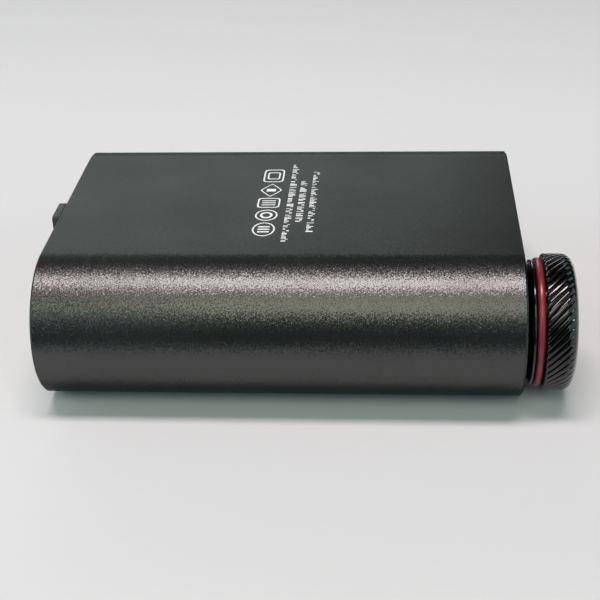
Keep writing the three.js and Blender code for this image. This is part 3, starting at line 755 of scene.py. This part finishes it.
def board_parts():
    leads = []
    for name, x, y, length, width, height, pins in CHIPS:
        package = hung_box(x, y, length, width, height, 0.18)
        block = make(f"{name}_package", *package, CHIP, "case", "chip", [name])
        low = PART_TOP - height
        corner = (x - length / 2 + 0.9, y - width / 2 + 0.9)
        carve(block, tool(loft([ring_at(*corner, z, 0.3, 16) for z in (low - 1, low + 0.06)])))
        pitch = (length - 1) / pins
        for k in range(pins):
            along = x - length / 2 + 0.5 + pitch * (k + 0.5)
            for side in (-1, 1):
                y0, y1 = sorted((y + side * (width / 2 - 0.1), y + side * (width / 2 + 0.45)))
                half = 0.28 * pitch
                leads.append(box_faces(along - half, along + half, y0, y1, PART_TOP - 0.3, PART_TOP))
    make("chip_leads", *together(*leads), TIN, "case", "steel")
    for name, x, y in CRYSTALS:
        make(f"{name}_lid", *hung_box(x, y, 3.2, 2.5, 0.9, 0.25), CAN, "case", "can", [name])
    make("inductor_core", *hung_box(-15, -3, 5.5, 5.5, 3.2, 0.6), CHIP, "case", "chip", ["power_inductor"])
    # A can: a groove near its foot, a rounded shoulder and a shallow dished end.
    profile = ((1.0, 3.1), (1.5, 3.1), (1.75, 2.9), (2.0, 3.1), (6.55, 3.1), (6.82, 3.0), (6.97, 2.8),
               (7.0, 2.55), (6.9, 2.4), (6.9, 0.0))
    for k, (x, y) in enumerate(CAPACITORS):
        can = loft([ring_at(x, y, PART_TOP - depth, r, 64) for depth, r in profile])
        make(f"capacitor_{k + 1}_can", *can, CAN, "case", "can", [f"capacitor_{k + 1}"])
        plan = [(x + a, y + b) for a, b in outline(6.6, 6.6, 0.4, 4)]
        foot = [[(a, b, PART_TOP - depth) for a, b in plan] for depth in (0, 0.95)]
        make(f"capacitor_{k + 1}_foot", *loft(foot), BLACK_PLASTIC, "case", "black_plastic")


def board_tracks():
    """Square-cornered copper runs under the green lacquer, on both faces, seeded so they never change."""
    runs = []
    for k in range(130):
        x, y = rng.uniform(-29, 24), rng.uniform(-21, 21)
        long, turn, wide = rng.uniform(2, 9), rng.uniform(-5, 5), rng.choice((0.15, 0.15, 0.25, 0.4))
        low, high = ((BOARD_LOW - 0.025, BOARD_LOW + 0.1), (BOARD_TOP - 0.1, BOARD_TOP + 0.025))[k % 2]
        x1, y1 = min(x + long, 31), max(-22, min(22, y + turn))
        runs.append(box_faces(x, x1, y - wide / 2, y + wide / 2, low, high))
        y0, y1 = sorted((y, y1))
        runs.append(box_faces(x1 - wide / 2, x1 + wide / 2, y0 - wide / 2, y1 + wide / 2, low, high))
    make("board_tracks", *together(*runs), TRACE, "case", "board")


board_parts()
board_tracks()

# ---------------------------------------------------------------- white marks
PRINT_LOW, PRINT_HIGH = 22.598, 22.612
ICON_X = -3.06  # the column of symbols
ICONS = ((9.96, 4.96), (4.32, 4.85), (-0.45, 3.55), (-4.93, 3.88), (-9.84, 4.63))  # centre and height of each
ROWS = ((0.4, 14.45, 28.8), (2.15, 7.77, 15.2), (4.0, 11.45, 22.5))  # place, start and length of each row


def framed(centre_y, half_x, half_y, stroke, power, steps=48):
    """A ring between two rounded outlines; power 1 is an ellipse and more is squarer."""
    rings = []
    for shrink, height in ((0, PRINT_LOW), (0, PRINT_HIGH), (stroke, PRINT_HIGH), (stroke, PRINT_LOW)):
        ring = []
        for i in range(steps):
            a = 2 * math.pi * i / steps
            c, s = math.cos(a), math.sin(a)
            k = (abs(c) ** (2 * power) + abs(s) ** (2 * power)) ** (-0.5 / power)
            ring.append((ICON_X + (half_x - shrink) * k * c, centre_y + (half_y - shrink) * k * s, height))
        rings.append(ring)
    return loft(rings, closed=True)


def bar_mark(x0, x1, y0, y1):
    return box_faces(x0, x1, y0, y1, PRINT_LOW, PRINT_HIGH)


def base_print():
    """Five plain symbols and three rows of dashes: nothing that reads as a word or a known mark."""
    stroke = 0.24
    oval, diamond, squarish = 1, 0.55, 3.5
    # Each symbol: its outline, then an inner outline or bars.
    symbols = (
        ((1.7, squarish), (1.05, 0.55, stroke, squarish), ()),
        ((1.75, diamond), None, ((0.75, 0, 0.5),)),
        ((1.8, squarish), None, tuple((1.1, d, 0.14) for d in (-0.75, 0, 0.75))),
        ((1.77, oval), (1.0, 0.56, stroke * 1.6, oval), ()),
        ((1.76, oval), None, tuple((0.9, d, 0.2) for d in (-0.85, 0, 0.85))),
    )
    parts = []
    for (y, tall), ((half_x, power), inner, bars) in zip(ICONS, symbols):
        parts.append(framed(y, half_x, tall / 2, stroke, power))
        if inner:
            inner_x, share, inner_stroke, inner_power = inner
            parts.append(framed(y, inner_x, tall / 2 * share, inner_stroke, inner_power))
        for wide, d, half in bars:
            parts.append(bar_mark(ICON_X - wide, ICON_X + wide, y + d - half, y + d + half))
    dashes = ((0.55, 0.0), (0.36, -0.16), (0.36, -0.16), (0.2, 0.3), (0.2, -0.3))  # half height and shift
    for x, start, length in ROWS:
        y = start
        while y > start - length + 0.3:
            tall, drop = rng.choice(dashes)
            wide = rng.choice((0.16, 0.16, 0.2, 0.34))
            parts.append(bar_mark(x + drop - tall, x + drop + tall, y - wide, y))
            y -= wide + rng.choice((0.14, 0.16, 0.2, 0.2, 0.5))
    make("base_marks", *together(*parts), PRINT, "case", "shell")


base_print()


def panel_marks(name, end, slots, rounds):
    """Unlettered marks: two ticks by each switch, two short bars under each socket."""
    x0, x1 = sorted(end * x for x in (PANEL_FACE - 0.004, PANEL_FACE + 0.012))
    near, far, half = 1.6, 2.3, 0.12
    parts = []
    for y, upright in slots:
        for step in (-1, 1):
            if upright:
                parts.append(box_faces(x0, x1, y + near, y + far, MID_Z + step - half, MID_Z + step + half))
            else:
                parts.append(box_faces(x0, x1, y + step - half, y + step + half, MID_Z + near, MID_Z + far))
    for y, z, wide in rounds:
        parts.append(box_faces(x0, x1, y - wide, y + wide, z - 0.14, z + 0.14))
        parts.append(box_faces(x0, x1, y - wide * 0.6, y + wide * 0.6, z - 0.64, z - 0.44))
    make(name, *together(*parts), PRINT, "case", "panel")


panel_marks("front_marks", FRONT, ((GAIN_Y, False), (BASS_Y, False)),
            ((HEADPHONE_Y, 5.6, 1.6), (BALANCED_Y, 5.6, 1.3)))
panel_marks("rear_marks", REAR, ((MODE_SWITCH_Y, True),),
            ((LINE_OUT_Y, 5.6, 1.2), (COAX_Y, 4.6, 1.5), (USB_Y, 10.6, 1.5)))

# ---------------------------------------------------------------- camera
AZIMUTH, ELEVATION, ROLL = 4.9612, 29.772, -2.193  # degrees
DISTANCE = 213.178
AIM = Vector((1.2994, 0, 4.4828))


def camera():
    a, e, r = (math.radians(v) for v in (AZIMUTH, ELEVATION, ROLL))
    back = Vector((math.sin(a) * math.cos(e), -math.cos(a) * math.cos(e), math.sin(e)))
    right = (-back).cross(Vector((0, 0, 1))).normalized()
    up = right.cross(-back)
    turned_right = right * math.cos(r) + up * math.sin(r)
    turned_up = up * math.cos(r) - right * math.sin(r)
    data = bpy.data.cameras.new("camera")
    data.lens = 76.7
    data.sensor_width = 36
    data.clip_start = 0.01
    data.clip_end = 20
    item = linked("camera", data)
    axes = Matrix((turned_right, turned_up, back)).transposed()
    item.matrix_world = Matrix.Translation((AIM + back * DISTANCE) * MM) @ axes.to_4x4()
    bpy.context.scene.camera = item


camera()

# ---------------------------------------------------------------- table, room and light


def staged(name, points, faces, material):
    mesh = bpy.data.meshes.new(name)
    mesh.from_pydata([Vector(p) * MM for p in points], [], faces)
    mesh.materials.append(material)
    linked(name, mesh)


def painted_falloff(material, near, far, colour):
    """Painted shade: the table's colour darkens a little towards the back, standing in for the light that
    falls off there.
    """
    tree = material.node_tree
    colour_in = tree.nodes["Principled BSDF"].inputs["Base Color"]
    base = colour_in.links[0].from_socket
    depth = add(tree, "ShaderNodeSeparateXYZ", {0: place(tree)}).outputs["Y"]
    tree.links.new(blend(tree, ramp(tree, depth, near * MM, far * MM), base, colour), colour_in)


TABLE_TOP = surface("white_table", (0.63, 0.637, 0.646), 0.75, grain=2.0, tint=0.006, relief=0.006, wear=0.03,
                    patches=90.0)
# Painted shade on the table: its colour darkens from 90 mm to 240 mm behind the case.
painted_falloff(TABLE_TOP, 90, 240, (0.515, 0.52, 0.526))
REACH, FRONT_EDGE = 3000, -77
staged("table", [(-REACH, FRONT_EDGE, 0), (REACH, FRONT_EDGE, 0), (REACH, REACH, 0), (-REACH, REACH, 0)],
       [(0, 1, 2, 3)], TABLE_TOP)


def soft_light(name, place_mm, aim_mm, width, depth, power, colour):
    """A rectangular lamp. One that hangs over the case is aimed straight down, or it would also turn."""
    data = bpy.data.lights.new(name, "AREA")
    data.shape = "RECTANGLE"
    data.size = width * MM
    data.size_y = depth * MM
    data.energy = power
    data.color = colour
    lamp = linked(name, data)
    start, aim = Vector(place_mm), Vector(aim_mm)
    lamp.location = start * MM
    lamp.rotation_euler = (aim - start).to_track_quat("-Z", "Y").to_euler()


soft_light("lamp", (-60, -92, 1500), (-60, -92, 0), 1000, 285, 18.2, (1.0, 0.875, 0.89))
soft_light("window", (0, -945, 1105), (0, 0, 0), 720, 560, 4.8, (1.0, 1.0, 0.8))
soft_light("far_wall", (-750, 1380, 620), (0, 0, 60), 2200, 520, 9.4, (0.92, 1.0, 0.98))
DAYLIGHT = (0.74, 0.98, 1.0)
soft_light("left_fill", (-1000, -450, 400), (0, 0, 0), 1700, 800, 7.6, DAYLIGHT)
soft_light("right_fill", (1000, -450, 400), (0, 0, 0), 2100, 1000, 6.4, DAYLIGHT)

world = bpy.data.worlds.new("room")
bpy.context.scene.world = world
world.use_nodes = True
background = world.node_tree.nodes["Background"]
background.inputs["Color"].default_value = (0.7, 0.95, 1.0, 1)
background.inputs["Strength"].default_value = 0.05

bpy.context.scene.view_settings.view_transform = "Standard"
bpy.context.scene.view_settings.look = "None"
